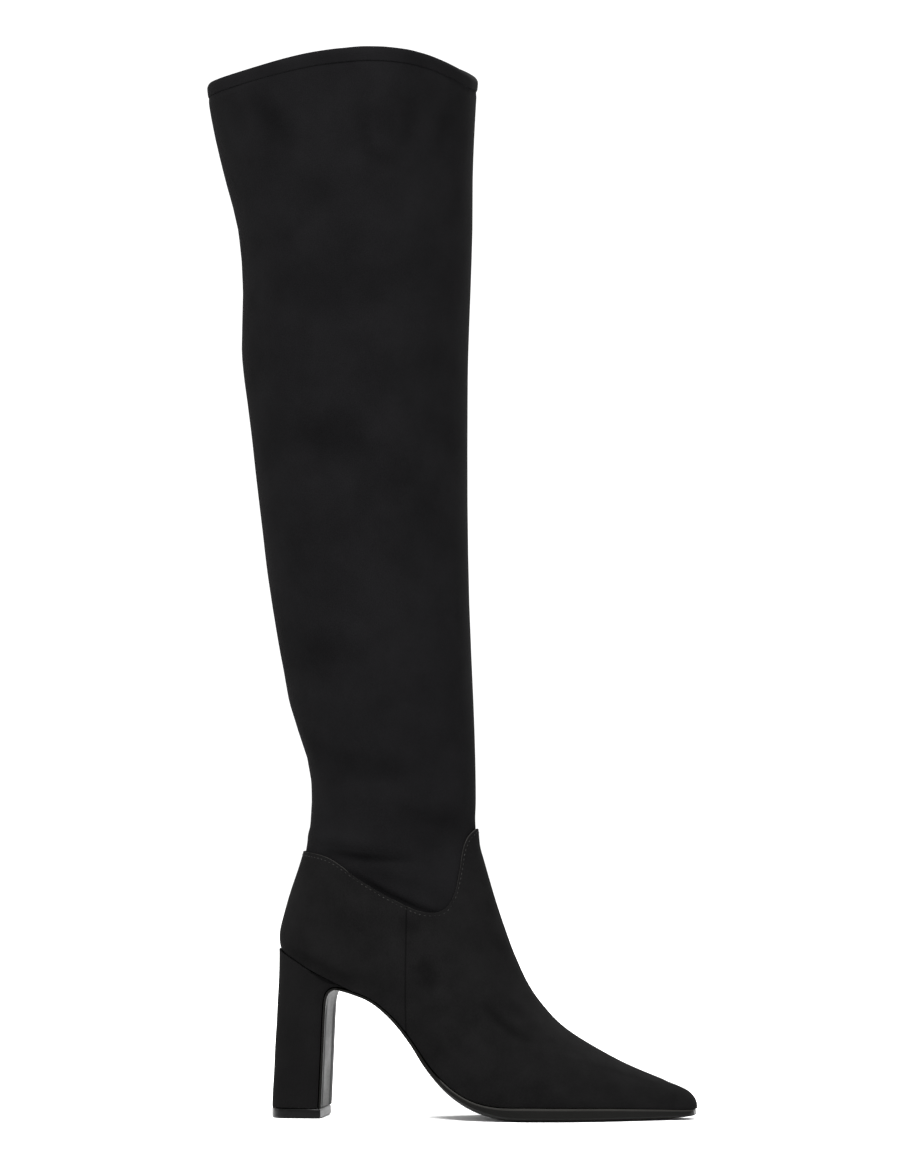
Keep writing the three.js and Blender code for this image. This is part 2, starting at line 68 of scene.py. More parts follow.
bpy.ops.object.select_all(action="DESELECT")
toward = Vector((math.sin(CAMERA_TURN), -math.cos(CAMERA_TURN), 0.0))
bpy.ops.object.camera_add(location=CAMERA_TARGET + toward * CAMERA_DISTANCE)
camera = bpy.context.object
camera.rotation_euler = (-toward).to_track_quat("-Z", "Y").to_euler()
camera.data.sensor_fit = "VERTICAL"
camera.data.sensor_height = SENSOR_HEIGHT
camera.data.lens = FOCAL_PIXELS / PHOTO_HEIGHT * SENSOR_HEIGHT
camera.data.clip_end = 30.0
bpy.context.scene.camera = camera
print("lens", round(camera.data.lens, 1), "mm")

# %% [markdown]
# A boot like this is photographed in a white room. A white world gives that even light and hides where
# the floor ends. One large soft lamp, high in front, draws the folds, a weaker one behind does so for the
# inner side, and two weak ones at the ends keep the outline soft. The floor takes only a thin shadow.

# %% Room
WORLD_LIGHT = 1.15
FLOOR_HALF = 6.0
LAMP_AIM = (-0.01, 0.0, 0.22)
LAMPS = (
    ("lamp_above", (-0.2, -1.3, 2.1), (0.9, 0.9), 110.0),
    ("lamp_toe", (1.6, -0.2, 0.8), (0.8, 1.6), 3.0),
    ("lamp_heel", (-1.6, -0.3, 0.9), (0.8, 1.6), 2.0),
    ("lamp_behind", (0.3, 1.5, 2.0), (0.9, 0.9), 60.0),
)


def soft_lamp(name, spot, size, watts):
    bpy.ops.object.select_all(action="DESELECT")
    bpy.ops.object.light_add(type="AREA", location=spot)
    lamp = bpy.context.object
    lamp.name = name
    lamp.data.shape = "RECTANGLE"
    lamp.data.size = size[0]
    lamp.data.size_y = size[1]
    lamp.data.energy = watts
    lamp.rotation_euler = (Vector(LAMP_AIM) - Vector(spot)).to_track_quat("-Z", "Y").to_euler()


world = bpy.data.worlds.new("white_room")
world.use_nodes = True
world.node_tree.nodes["Background"].inputs["Color"].default_value = (1.0, 1.0, 1.0, 1.0)
world.node_tree.nodes["Background"].inputs["Strength"].default_value = WORLD_LIGHT
bpy.context.scene.world = world
bpy.context.scene.view_settings.view_transform = "Standard"

bpy.ops.object.select_all(action="DESELECT")
bpy.ops.mesh.primitive_plane_add(size=2 * FLOOR_HALF, location=(0.0, 0.0, 0.0))
floor = bpy.context.object
floor.name = "floor"
for name, spot, size, watts in LAMPS:
    soft_lamp(name, spot, size, watts)
print("lamps:", len(LAMPS))

# %% [markdown]
# The solids are faceted, and cloth is not. So each soft piece is laid anew over the solid, as one pins
# cloth to a last: a tube of square faces is wrapped on a smoothed copy of the solid's outer skin. The
# copy is merged first, its cut edges and its inner wall are taken off, and what stays is rounded.

# %% Copies of a solid
MERGE = 0.002 * MM
SLIVER = 0.02 * MM


def only(piece):
    bpy.ops.object.select_all(action="DESELECT")
    piece.select_set(True)
    bpy.context.view_layer.objects.active = piece


def copy_of(node, name):
    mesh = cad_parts[node].data.copy()
    mesh.materials.clear()
    piece = bpy.data.objects.new(name, mesh)
    bpy.context.scene.collection.objects.link(piece)
    only(piece)
    bpy.ops.mesh.customdata_custom_splitnormals_clear()
    bpy.ops.object.mode_set(mode="EDIT")
    bpy.ops.mesh.select_all(action="SELECT")
    bpy.ops.mesh.remove_doubles(threshold=MERGE)
    bpy.ops.object.mode_set(mode="OBJECT")
    return piece


def islands_of(mesh):
    left = set(mesh.faces)
    islands = []
    while left:
        stack = [left.pop()]
        island = []
        while stack:
            face = stack.pop()
            island.append(face)
            for edge in face.edges:
                for other in edge.link_faces:
                    if other in left:
                        left.remove(other)
                        stack.append(other)
        islands.append(island)
    return islands


def outer_skin(node, name, is_cut):
    """A copy of the solid that keeps only its outer face, between the cuts."""
    piece = copy_of(node, name)
    bpy.ops.object.mode_set(mode="EDIT")
    bpy.ops.mesh.select_all(action="SELECT")
    bpy.ops.mesh.dissolve_degenerate(threshold=SLIVER)
    bpy.ops.mesh.quads_convert_to_tris()
    bpy.ops.object.mode_set(mode="OBJECT")
    mesh = bmesh.new()
    mesh.from_mesh(piece.data)
    mesh.normal_update()
    bmesh.ops.delete(mesh, geom=[f for f in mesh.faces if is_cut(f)], context="FACES")
    islands = sorted(islands_of(mesh), key=lambda part: -sum(f.calc_area() for f in part))
    print(name, "islands", [round(sum(f.calc_area() for f in part) * 1e4, 1) for part in islands][:6])
    spare = [f for part in islands[1:] for f in part]
    bmesh.ops.delete(mesh, geom=spare, context="FACES")
    mesh.to_mesh(piece.data)
    mesh.free()
    return piece


# %% [markdown]
# The open edges of the foot's skin are two closed loops: the feather edge, where the suede meets the
# sole, and the lapped seam at the ankle. Both are read from the skin, walked round from the back by way
# of the outer side, and spaced evenly, so that they can carry the first and last ring of a new tube.

# %% Edge loops
AROUND = 288
LOOP_SMOOTHING = 5


def open_loops(piece):
    mesh = piece.data
    uses = {}
    for polygon in mesh.polygons:
        for key in polygon.edge_keys:
            uses[key] = uses.get(key, 0) + 1
    beside = {}
    for (a, b), count in uses.items():
        if count == 1:
            beside.setdefault(a, []).append(b)
            beside.setdefault(b, []).append(a)
    loops = []
    seen = set()
    for start in sorted(beside):
        if start in seen:
            continue
        path = [start]
        seen.add(start)
        while True:
            onward = [v for v in beside[path[-1]] if v not in seen]
            if not onward:
                break
            path.append(onward[0])
            seen.add(onward[0])
        loops.append(np.array([mesh.vertices[v].co for v in path]))
    return loops


def from_the_back(loop):
    """The loop starts at its rearmost point on the middle line and runs by the outer side."""
    centre = loop.mean(axis=0)
    turn = np.arctan2(loop[:, 1] - centre[1], loop[:, 0] - centre[0])
    start = int(np.argmin(np.abs(np.abs(turn) - math.pi)))
    loop = np.roll(loop, -start, axis=0)
    if loop[len(loop) // 4, 1] > 0:
        loop = np.roll(loop[::-1], 1, axis=0)
    return loop


def spaced(line, count):
    """The open line as a number of evenly spaced points, both ends included."""
    steps = np.linalg.norm(np.diff(line, axis=0), axis=1)
    along = np.concatenate([[0.0], np.cumsum(steps)])
    wanted = np.linspace(0.0, along[-1], count)
    return np.stack([np.interp(wanted, along, line[:, i]) for i in range(3)], axis=1)


def even_loop(loop, front):
    """Half of the points lie on each side, between the back and a point at the front."""
    loop = from_the_back(loop)
    closed = np.vstack([loop, loop[:1]])
    turn = int(np.argmin(np.linalg.norm(closed - np.array(front), axis=1)))
    outer = spaced(closed[: turn + 1], AROUND // 2 + 1)
    inner = spaced(closed[turn:], AROUND // 2 + 1)
    even = np.vstack([outer[:-1], inner[:-1]])
    for _ in range(LOOP_SMOOTHING):
        even = (np.roll(even, 1, axis=0) + 2 * even + np.roll(even, -1, axis=0)) / 4
    return even


CUT_SLANT = 0.01
TOE_CAP = 4 * MM
TOE_FACING = 0.7
TOE_ASIDE = 0.4 * MM
toe_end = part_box("upper")[1].x


def is_side_cut(face):
    is_toe = face.calc_center_median().x > toe_end - TOE_CAP and face.normal.x > TOE_FACING
    return abs(face.normal.y) < CUT_SLANT and not is_toe


foot_skin = outer_skin("upper", "foot_skin", is_side_cut)
loops = sorted(open_loops(foot_skin), key=lambda loop: loop[:, 2].mean())
feather_loop, seam_loop = loops[0], loops[-1]
toe_point = feather_loop[np.argmax(feather_loop[:, 0])]
toe_side = feather_loop[:, 1].mean() + TOE_ASIDE
feather = even_loop(feather_loop, (toe_point[0], toe_side, toe_point[2]))
seam_front = seam_loop[np.argmax(seam_loop[:, 0])]
seam = even_loop(seam_loop, (seam_front[0], 0.0, seam_front[2]))
print("feather edge", len(loops[0]), "points; seam", round(seam[:, 2].min(), 3), round(seam[:, 2].max(), 3))

# %% [markdown]
# The skin is rounded by turning its triangles back into squares and subdividing them. A tube of squares
# is then added as a cylinder, its walls are cut into rings, and the rings are spread between the two
# loops. Shrinkwrap lays it on the rounded skin and Smooth evens the squares, in turns.

# %% Tubes of squares
SQUARE_ANGLE = math.radians(60)
ROUNDING = 2


def round_skin(piece):
    only(piece)
    bpy.ops.object.mode_set(mode="EDIT")
    bpy.ops.mesh.select_all(action="SELECT")
    bpy.ops.mesh.tris_convert_to_quads(face_threshold=SQUARE_ANGLE, shape_threshold=SQUARE_ANGLE)
    bpy.ops.object.mode_set(mode="OBJECT")
    apply(piece, "SUBSURF", levels=ROUNDING, render_levels=ROUNDING)
    return piece


def apply(piece, kind, **settings):
    only(piece)
    modifier = piece.modifiers.new(kind.lower(), kind)
    for name, value in settings.items():
        setattr(modifier, name, value)
    bpy.ops.object.modifier_apply(modifier=modifier.name)


def tube(name, rings, centre, radius, height):
    """An upright open tube. Gives the piece and its vertex numbers, ring by ring from below."""
    bpy.ops.object.select_all(action="DESELECT")
    bpy.ops.mesh.primitive_cylinder_add(
        vertices=AROUND, radius=radius, depth=height, end_fill_type="NOTHING", location=centre
    )
    piece = bpy.context.object
    piece.name = name
    bpy.ops.object.transform_apply(location=True, rotation=True, scale=True)
    bpy.ops.object.mode_set(mode="EDIT")
    bpy.ops.mesh.select_mode(type="EDGE")
    bpy.ops.mesh.select_all(action="DESELECT")
    mesh = bmesh.from_edit_mesh(piece.data)
    for edge in mesh.edges:
        edge.select_set(abs(edge.verts[0].co.z - edge.verts[1].co.z) > height / 2)
    bmesh.update_edit_mesh(piece.data)
    bpy.ops.mesh.subdivide(number_cuts=rings - 2)
    bpy.ops.mesh.select_mode(type="VERT")
    bpy.ops.object.mode_set(mode="OBJECT")
    points = coordinates(piece)
    turn = np.arctan2(points[:, 1] - centre[1], points[:, 0] - centre[0]) + math.pi
    column = np.round(turn / (2 * math.pi) * AROUND).astype(int) % AROUND
    low = centre[2] - height / 2
    ring = np.round((points[:, 2] - low) / height * (rings - 1)).astype(int)
    numbers = np.zeros((rings, AROUND), int)
    numbers[ring, column] = np.arange(len(points))
    return piece, numbers


def coordinates(piece):
    points = np.zeros(len(piece.data.vertices) * 3)
    piece.data.vertices.foreach_get("co", points)
    return points.reshape(-1, 3)


def place(piece, numbers, grid):
    points = coordinates(piece)
    points[numbers.reshape(-1)] = grid.reshape(-1, 3)
    piece.data.vertices.foreach_set("co", points.reshape(-1))
    piece.data.update()


def lay_on(piece, numbers, skin, rounds, iterations, offset):
    """Wraps the tube on the skin and evens it, and leaves its first and last ring where they are."""
    inside = piece.vertex_groups.new(name="between_edges")
    inside.add([int(v) for v in numbers[1:-1].reshape(-1)], 1.0, "REPLACE")
    for _ in range(rounds):
        apply(piece, "SHRINKWRAP", target=skin, vertex_group="between_edges", offset=offset)
        apply(piece, "SMOOTH", factor=0.5, iterations=iterations, vertex_group="between_edges")
    apply(piece, "SHRINKWRAP", target=skin, vertex_group="between_edges", offset=offset)
    apply(piece, "SMOOTH", factor=0.5, iterations=2, vertex_group="between_edges")


# %% The foot
FOOT_RINGS = 84
SKIN_GAIN = 0.15 * MM

round_skin(foot_skin)
foot, foot_numbers = tube("boot_foot", FOOT_RINGS, (0.0, 0.0, 0.1), 0.1, 0.1)
rise = np.linspace(0.0, 1.0, FOOT_RINGS)[:, None, None]
place(foot, foot_numbers, feather * (1 - rise) + seam * rise)
lay_on(foot, foot_numbers, foot_skin, 6, 10, SKIN_GAIN)
print("foot", len(foot.data.polygons), "faces")

# %% [markdown]
# The shaft is a stretch tube that follows the leg. Its rings start low inside the ankle seam and end under
# the hem, so they tilt from the one line to the other on the way up. Each point is found by looking at
# the solid from outside, level and towards the middle of the leg, and the facets are then evened out.
# Under the hem the cloth is pressed in a little, as a turned hem does, so the two don't cut each other.

# %% The middle of the leg
LEVELS = 48
LEVELS_FROM = 50 * MM
LEVELS_TO = 16 * MM
LEVEL_BLUR = 9
LOOK_FROM = 0.15

shaft_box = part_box("shaft")
shaft_points = coordinates(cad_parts["shaft"])
shaft_tree = BVHTree.FromPolygons(
    [Vector(p) for p in shaft_points],
    [tuple(polygon.vertices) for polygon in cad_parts["shaft"].data.polygons],
)
level_heights = np.linspace(shaft_box[0].z + LEVELS_FROM, shaft_box[1].z - LEVELS_TO, LEVELS)
level_middles = []
for height in level_heights:
    ahead = shaft_tree.ray_cast(Vector((LOOK_FROM, 0.0, height)), Vector((-1.0, 0.0, 0.0)))[0]
    behind = shaft_tree.ray_cast(Vector((-2 * LOOK_FROM, 0.0, height)), Vector((1.0, 0.0, 0.0)))[0]
    level_middles.append((ahead.x + behind.x) / 2)
level_middles = np.pad(level_middles, LEVEL_BLUR // 2, mode="edge")
level_middles = np.convolve(level_middles, np.ones(LEVEL_BLUR) / LEVEL_BLUR, mode="valid")
print("middle of the leg from", round(level_middles[0], 4), "to", round(level_middles[-1], 4))

# %% Points of the shaft
FACET_PASSES = 40


def middle_at(height):
    return np.interp(height, level_heights, level_middles)


def seen_from_outside(turn, height):
    middle = Vector((middle_at(height), 0.0, height))
    out = Vector((math.cos(turn), math.sin(turn), 0.0))
    hit = shaft_tree.ray_cast(middle + out * LOOK_FROM, -out)
    return None if hit[0] is None else np.array(hit[0])


def evened(grid, passes):
    """Takes the facets out of each ring and keeps its size."""
    middle = grid.mean(axis=1, keepdims=True)
    flat = (grid - middle)[:, :, :2]
    for _ in range(passes):
        flat = (np.roll(flat, 1, axis=1) + 2 * flat + np.roll(flat, -1, axis=1)) / 4
    flat /= math.cos(math.pi / AROUND) ** (2 * passes)
    return np.concatenate([flat + middle[:, :, :2], grid[:, :, 2:]], axis=2)


def leg_grid(low_turn, low_height, top_turn, top_height, shares):
    grid = np.zeros((len(shares), AROUND, 3))
    for i, share in enumerate(shares):
        for k in range(AROUND):
            turn = low_turn[k] * (1 - share) + top_turn[k] * share
            height = low_height[k] * (1 - share) + top_height[k] * share
            point = seen_from_outside(turn, height)
            if point is None:
                point = grid[i - 1, k] if i else np.array([seam[k, 0], seam[k, 1], height])
            grid[i, k] = point
    return grid


# %% [markdown]
# The rim is a wave, highest at the side of the thigh, and the solid's own rim is found by halving. Its two
# corners are drawn up a little, as the turned cloth stands up there. The heights are kept along the rim,
# for the hem to follow.

# %% The rim
RIM_PASSES = 6
RIM_SEARCH = (30 * MM, 1 * MM)
RIM_HALVINGS = 14
RIM_RISE_AT = (-125.0, -50.0, -25.0, 12.0)
RIM_RISE = (2.8, 0.0, 0.0, 1.4)


def rim_height(turn):
    """The greatest height at which the near wall is still met, found by halving."""
    low, high = shaft_box[1].z - RIM_SEARCH[0], shaft_box[1].z + RIM_SEARCH[1]
    out = np.array([math.cos(turn), math.sin(turn), 0.0])
    for _ in range(RIM_HALVINGS):
        height = (low + high) / 2
        point = seen_from_outside(turn, height)
        is_wall = point is not None and (point - (middle_at(height), 0.0, height)) @ out > 0
        low, high = (height, high) if is_wall else (low, height)
    return low


def rim_heights(turns):
    wave = np.array([rim_height(turn) for turn in turns])
    for _ in range(RIM_PASSES):
        wave = (np.roll(wave, 1) + 2 * wave + np.roll(wave, -1)) / 4
    return wave


turns = np.arange(AROUND) / AROUND
top_turn = math.pi + 2 * math.pi * turns
rim = rim_heights(top_turn)
rim_x = np.array([seen_from_outside(turn, height - 1 * MM)[0] for turn, height in zip(top_turn, rim)])
rim_top = rim + np.interp(rim_x / MM, RIM_RISE_AT, RIM_RISE) * MM
print("rim from", round(rim.min(), 4), "to", round(rim.max(), 4))

# %% The shaft
SHAFT_RINGS = 102
SEAM_LAP = 4 * MM
HEM_HEIGHT = 8 * MM
HEM_COVER = 5.5 * MM
HEM_SINK = 1.3 * MM
SINK_ABOVE = -0.5 * MM
SINK_RUN = 1.5 * MM
CROWD_STEPS = 600
CROWD_AT_SEAM = (3.5, 0.10)
CROWD_AT_RIM = (3.0, 0.03)


def crowded_shares():
    """Shares of the way up, closer together at the ankle seam and at the rim, where the cloth bends most."""
    share = np.linspace(0.0, 1.0, CROWD_STEPS)
    crowding = 1 + CROWD_AT_SEAM[0] * np.exp(-share / CROWD_AT_SEAM[1])
    crowding += CROWD_AT_RIM[0] * np.exp((share - 1) / CROWD_AT_RIM[1])
    crowding = np.cumsum(crowding) - crowding[0]
    return np.interp(np.linspace(0, crowding[-1], SHAFT_RINGS), crowding, share)


seam_turn = np.unwrap(np.arctan2(seam[:, 1], seam[:, 0] - middle_at(seam[:, 2])) % (2 * math.pi))
shaft_head = rim - HEM_HEIGHT + HEM_COVER
leg = leg_grid(seam_turn, seam[:, 2] - SEAM_LAP, top_turn, shaft_head, crowded_shares())
under_hem = np.clip((leg[:, :, 2] - (rim - HEM_HEIGHT + SINK_ABOVE)) / SINK_RUN, 0, 1)
inward = leg[:, :, :2] - leg.mean(axis=1, keepdims=True)[:, :, :2]
inward /= -np.linalg.norm(inward, axis=2, keepdims=True)
leg[:, :, :2] += inward * (HEM_SINK * under_hem)[:, :, None]
leg = evened(leg, FACET_PASSES)

shaft, shaft_numbers = tube("boot_shaft", SHAFT_RINGS, (-0.05, 0.0, 0.35), 0.06, 0.4)
place(shaft, shaft_numbers, leg)
print("shaft", len(shaft.data.polygons), "faces")

# %% [markdown]
# Folds make cloth of a smooth tube. Each one is a row of a table: a line on one side of the
# boot, how wide it is and how far it stands out, or in where the number is negative. Places are shares of
# the foot's length and of the boot's height, and widths and depths are millimetres. The depth is also kept
# on the mesh, because the suede uses it to paint shade into the troughs.

# %% Folds
FOOT_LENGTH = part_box("upper")[1].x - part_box("upper")[0].x
FOOT_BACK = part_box("upper")[0].x
BOOT_HEIGHT = shaft_box[1].z
OUTER, INNER = -1, 1
SIDE_BLEND = 3 * MM
END_FULLNESS = 0.8
FOLD_COLUMNS = ("side", "along", "up", "to_along", "to_up", "sag", "width", "out")


def normals_of(piece):
    normals = np.zeros(len(piece.data.vertices) * 3)
    piece.data.vertex_normals.foreach_get("vector", normals)
    return normals.reshape(-1, 3)


def keep_depth(piece, moved):
    """Adds how far each point was moved, in millimetres, to the attribute from which the suede paints shade.
    """
    depth = piece.data.attributes.get("fold")
    if depth is None:
        depth = piece.data.attributes.new("fold", "FLOAT", "POINT")
    before = np.zeros(len(moved))
    depth.data.foreach_get("value", before)
    depth.data.foreach_set("value", before + moved / MM)


def fold(piece, rows):
    points = coordinates(piece)
    normals = normals_of(piece)
    moved = np.zeros(len(points))
    for row in rows:
        f = dict(zip(FOLD_COLUMNS, row))
        start = np.array([FOOT_BACK + f["along"] * FOOT_LENGTH, f["up"] * BOOT_HEIGHT])
        end = np.array([FOOT_BACK + f["to_along"] * FOOT_LENGTH, f["to_up"] * BOOT_HEIGHT])
        run = end - start
        length = np.linalg.norm(run)
        run /= length
        across = np.array([-run[1], run[0]])
        flat = points[:, [0, 2]] - start
        share = flat @ run / length
        bow = 4 * f["sag"] * MM * share * (1 - share)
        distance = flat @ across - bow
        ends = np.sin(math.pi * np.clip(share, 0, 1)) ** END_FULLNESS
        facing = 1 / (1 + np.exp(-f["side"] * points[:, 1] / SIDE_BLEND))
        within = (share > 0) & (share < 1)
        moved += f["out"] * MM * ends * facing * within * np.exp(-((distance / (f["width"] * MM)) ** 2))
    points += normals * moved[:, None]
    piece.data.vertices.foreach_set("co", points.reshape(-1))
    piece.data.update()
    keep_depth(piece, moved)
    print(piece.name, "folded", round(moved.min() / MM, 2), "to", round(moved.max() / MM, 2), "mm")


# Rows with a negative number are troughs, and the suede paints shade into them by their depth.
SHAFT_FOLDS = (
    (OUTER, 0.060, 0.266, 0.300, 0.252, 1.0, 3.4, 1.90),
    (OUTER, 0.110, 0.252, 0.345, 0.242, -0.8, 2.8, -1.50),
    (OUTER, 0.230, 0.240, 0.460, 0.207, 1.5, 4.6, 1.70),
    (OUTER, 0.185, 0.2340, 0.430, 0.1880, -2.8, 1.8, -1.60),
    (OUTER, 0.436, 0.200, 0.472, 0.268, 0.0, 1.6, -1.10),
    (OUTER, 0.060, 0.292, 0.330, 0.303, 2.0, 6.0, 0.90),
    (OUTER, 0.090, 0.334, 0.400, 0.320, 2.0, 9.0, -0.70),
    (OUTER, 0.300, 0.290, 0.470, 0.276, -1.0, 5.0, -0.60),
    (OUTER, 0.136, 0.985, 0.150, 0.870, 0.0, 6.0, 1.10),
    (OUTER, 0.236, 0.955, 0.252, 0.885, 0.0, 4.5, -0.65),
    (OUTER, 0.345, 0.950, 0.330, 0.900, 1.0, 3.6, -0.55),
    (OUTER, 0.290, 0.975, 0.285, 0.905, 0.0, 4.0, 0.60),
    (OUTER, 0.425, 0.945, 0.400, 0.895, 0.0, 4.0, -0.60),
    (OUTER, 0.240, 0.905, 0.330, 0.888, 1.0, 4.0, -0.45),
    (OUTER, -0.040, 0.960, 0.080, 0.900, 2.0, 7.0, -0.90),
    (INNER, 0.080, 0.268, 0.300, 0.252, 1.0, 3.6, 1.60),
    (INNER, 0.120, 0.252, 0.340, 0.238, -0.8, 3.0, -1.30),
    (INNER, 0.200, 0.238, 0.430, 0.194, -2.4, 3.0, -1.20),
    (INNER, 0.240, 0.244, 0.450, 0.212, 1.0, 5.0, 1.30),
    (INNER, 0.090, 0.300, 0.360, 0.308, 2.0, 7.0, 0.80),
    (INNER, 0.160, 0.980, 0.170, 0.880, 0.0, 5.0, 1.00),
    (INNER, 0.300, 0.970, 0.290, 0.890, 0.0, 4.0, -0.90),
    (INNER, 0.380, 0.970, 0.370, 0.870, 0.0, 4.5, 0.70),
    (INNER, 0.060, 0.970, 0.090, 0.870, 0.0, 6.0, -0.80),
    (OUTER, -0.02, 0.420, 0.250, 0.436, 4.0, 11.0, -0.70),
    (OUTER, -0.05, 0.520, 0.300, 0.505, -4.0, 14.0, 0.80),
    (OUTER, -0.08, 0.640, 0.280, 0.628, 4.0, 13.0, -0.80),
    (OUTER, 0.180, 0.700, 0.460, 0.735, 4.0, 15.0, 0.80),
    (OUTER, 0.000, 0.790, 0.300, 0.760, 4.0, 16.0, -0.70),
    (INNER, -0.04, 0.460, 0.260, 0.448, -4.0, 12.0, -0.70),
    (INNER, -0.08, 0.600, 0.300, 0.612, 4.0, 14.0, 0.80),
    (INNER, 0.100, 0.740, 0.440, 0.720, 4.0, 15.0, -0.70),
)
# The two rows that start at 0.015 lie along the joint above the heel; their troughs get the same painted
# shade.
FOOT_FOLDS = (
    (OUTER, 0.500, 0.112, 0.630, 0.072, -1.5, 3.0, -1.00),
    (OUTER, 0.520, 0.128, 0.650, 0.090, -1.5, 4.0, 0.70),
    (OUTER, 0.350, 0.150, 0.400, 0.122, 0.0, 5.0, -0.90),
    (OUTER, 0.080, 0.206, 0.300, 0.184, 0.0, 9.0, 0.70),
    (OUTER, 0.300, 0.185, 0.360, 0.180, 0.0, 4.0, -0.70),
    (OUTER, 0.015, 0.164, 0.210, 0.126, -1.0, 3.4, -0.70),
    (OUTER, 0.500, 0.176, 0.570, 0.148, 1.0, 4.0, -0.60),
    (INNER, 0.500, 0.110, 0.620, 0.080, -1.5, 3.5, -0.90),
    (INNER, 0.520, 0.126, 0.650, 0.094, -1.5, 4.5, 0.60),
    (INNER, 0.340, 0.150, 0.420, 0.130, 0.0, 5.0, -0.80),
    (INNER, 0.015, 0.164, 0.210, 0.126, -1.0, 3.4, -0.70),
)
fold(shaft, SHAFT_FOLDS)
fold(foot, FOOT_FOLDS)

# %% [markdown]
# The foot part is sewn from a front and a back panel. Their seams run up both sides to the lowest place
# of the ankle seam, as shallow grooves with a slight roll beside them. The mesh takes the soft part of
# that shape here, and the material adds the fine line.

# %% Side seams of the foot
SIDE_SEAM_LOW = 0.318
SIDE_SEAM_TOP = 0.322
SEAM_GROOVE = (("groove", 0.0, 1.1, -0.30), ("roll", 2.6, 1.5, 0.20), ("roll", -2.6, 1.5, 0.20))
SEAM_SIDE = 12 * MM
SEAM_SIDE_FADE = 6 * MM


def side_seam_place(height):
    share = np.clip(height / seam[:, 2].min(), 0, 1)
    return FOOT_BACK + (SIDE_SEAM_LOW * (1 - share) + SIDE_SEAM_TOP * share) * FOOT_LENGTH


def sew_side_seams(piece):
    points = coordinates(piece)
    normals = normals_of(piece)
    away = (points[:, 0] - side_seam_place(points[:, 2])) / MM
    on_side = np.clip((np.abs(points[:, 1]) - SEAM_SIDE) / SEAM_SIDE_FADE, 0, 1)
    moved = np.zeros(len(points))
    for _, place_mm, width, out in SEAM_GROOVE:
        moved += out * MM * np.exp(-(((away - place_mm) / width) ** 2))
    points += normals * (moved * on_side)[:, None]
    piece.data.vertices.foreach_set("co", points.reshape(-1))
    piece.data.update()


sew_side_seams(foot)
foot_grid = coordinates(foot)[foot_numbers]
print("side seams at", round(float(side_seam_place(0.1)), 4))

# %% [markdown]
# The seam at the ankle is lapped: the raw edge of the suede lies on the shaft and is stitched down 2 mm
# below it. One stitch is shaped from a ball, stretched and bent a little, and its copies are laid along
# a line that follows the edge on the finished foot.

# %% Stitches
STITCH_INSET = 2.0 * MM
STITCH_STEP = 2.8 * MM
STITCH_LENGTH = 1.35 * MM
STITCH_THICK = 0.42 * MM
STITCH_BEND = 0.3 * STITCH_THICK
STITCH_STAND = 0.05 * MM


def line_below_edge(grid, inset):
    """A line on the grid, a given way down from its last ring, with the outward direction at each point."""
    points, outward = [], []
    for k in range(AROUND):
        column = grid[::-1, k]
        steps = np.linalg.norm(np.diff(column, axis=0), axis=1)
        along = np.concatenate([[0.0], np.cumsum(steps)])
        points.append([np.interp(inset, along, column[:, i]) for i in range(3)])
        down = column[6] - column[0]
        around = grid[-1, (k + 2) % AROUND] - grid[-1, k - 2]
        out = np.cross(down, around)
        outward.append(out / np.linalg.norm(out))
    return np.array(points), np.array(outward)


def make_stitch():
    bpy.ops.object.select_all(action="DESELECT")
    bpy.ops.mesh.primitive_uv_sphere_add(segments=8, ring_count=6, radius=1.0)
    stitch = bpy.context.object
    bpy.ops.object.mode_set(mode="EDIT")
    bpy.ops.mesh.select_all(action="SELECT")
    bpy.ops.transform.resize(value=(STITCH_THICK / 2, STITCH_THICK / 2, STITCH_LENGTH / 2))
    bpy.ops.object.mode_set(mode="OBJECT")
    points = coordinates(stitch)
    points[:, 0] -= STITCH_BEND * (points[:, 2] / (STITCH_LENGTH / 2)) ** 2
    stitch.data.vertices.foreach_set("co", points.reshape(-1))
    return stitch


def lay_stitches(name, line, outward):
    closed = np.vstack([line, line[:1]])
    steps = np.linalg.norm(np.diff(closed, axis=0), axis=1)
    along = np.concatenate([[0.0], np.cumsum(steps)])
    count = int(along[-1] / STITCH_STEP)
    first = make_stitch()
    copies = []
    for i in range(count):
        at = along[-1] * i / count
        k = int(np.searchsorted(along, at, side="right")) - 1
        share = (at - along[k]) / steps[k]
        place_at = closed[k] * (1 - share) + closed[k + 1] * share
        run = Vector(closed[k + 1] - closed[k]).normalized()
        out = Vector(outward[k])
        side = out.cross(run).normalized()
        out = run.cross(side)
        turn = np.array([out, side, run]).T
        copy = first.copy()
        copy.data = first.data.copy()
        points = coordinates(copy) @ turn.T + place_at + np.array(out) * STITCH_STAND
        copy.data.vertices.foreach_set("co", points.reshape(-1))
        bpy.context.scene.collection.objects.link(copy)
        copies.append(copy)
    bpy.data.objects.remove(first)
    only(copies[0])
    for copy in copies:
        copy.select_set(True)
    bpy.ops.object.join()
    copies[0].name = name
    bpy.ops.object.shade_smooth()
    print(name, count, "stitches")
    return copies[0]


stitch_line, stitch_out = line_below_edge(foot_grid, STITCH_INSET)
stitches = lay_stitches("ankle_stitches", stitch_line, stitch_out)

# %% [markdown]
# So far the soft pieces are skins. Solidify gives each its wall, inwards, so the outside stays where it
# was laid. A small bevel then rounds the cut edges, which catch the light on a real boot. The inside of
# the wall takes a second material, the lining, and the cut edge a third, paler: partly the raw felt's own
# colour and partly a painted highlight of the light that the edge catches.

# %% Walls
WALL = 1.2 * MM
EDGE_ROUND = 0.3 * MM
EDGE_ANGLE = math.radians(50)
OUTSIDE, LINING, RAW_EDGE_AND_HIGHLIGHT = range(3)


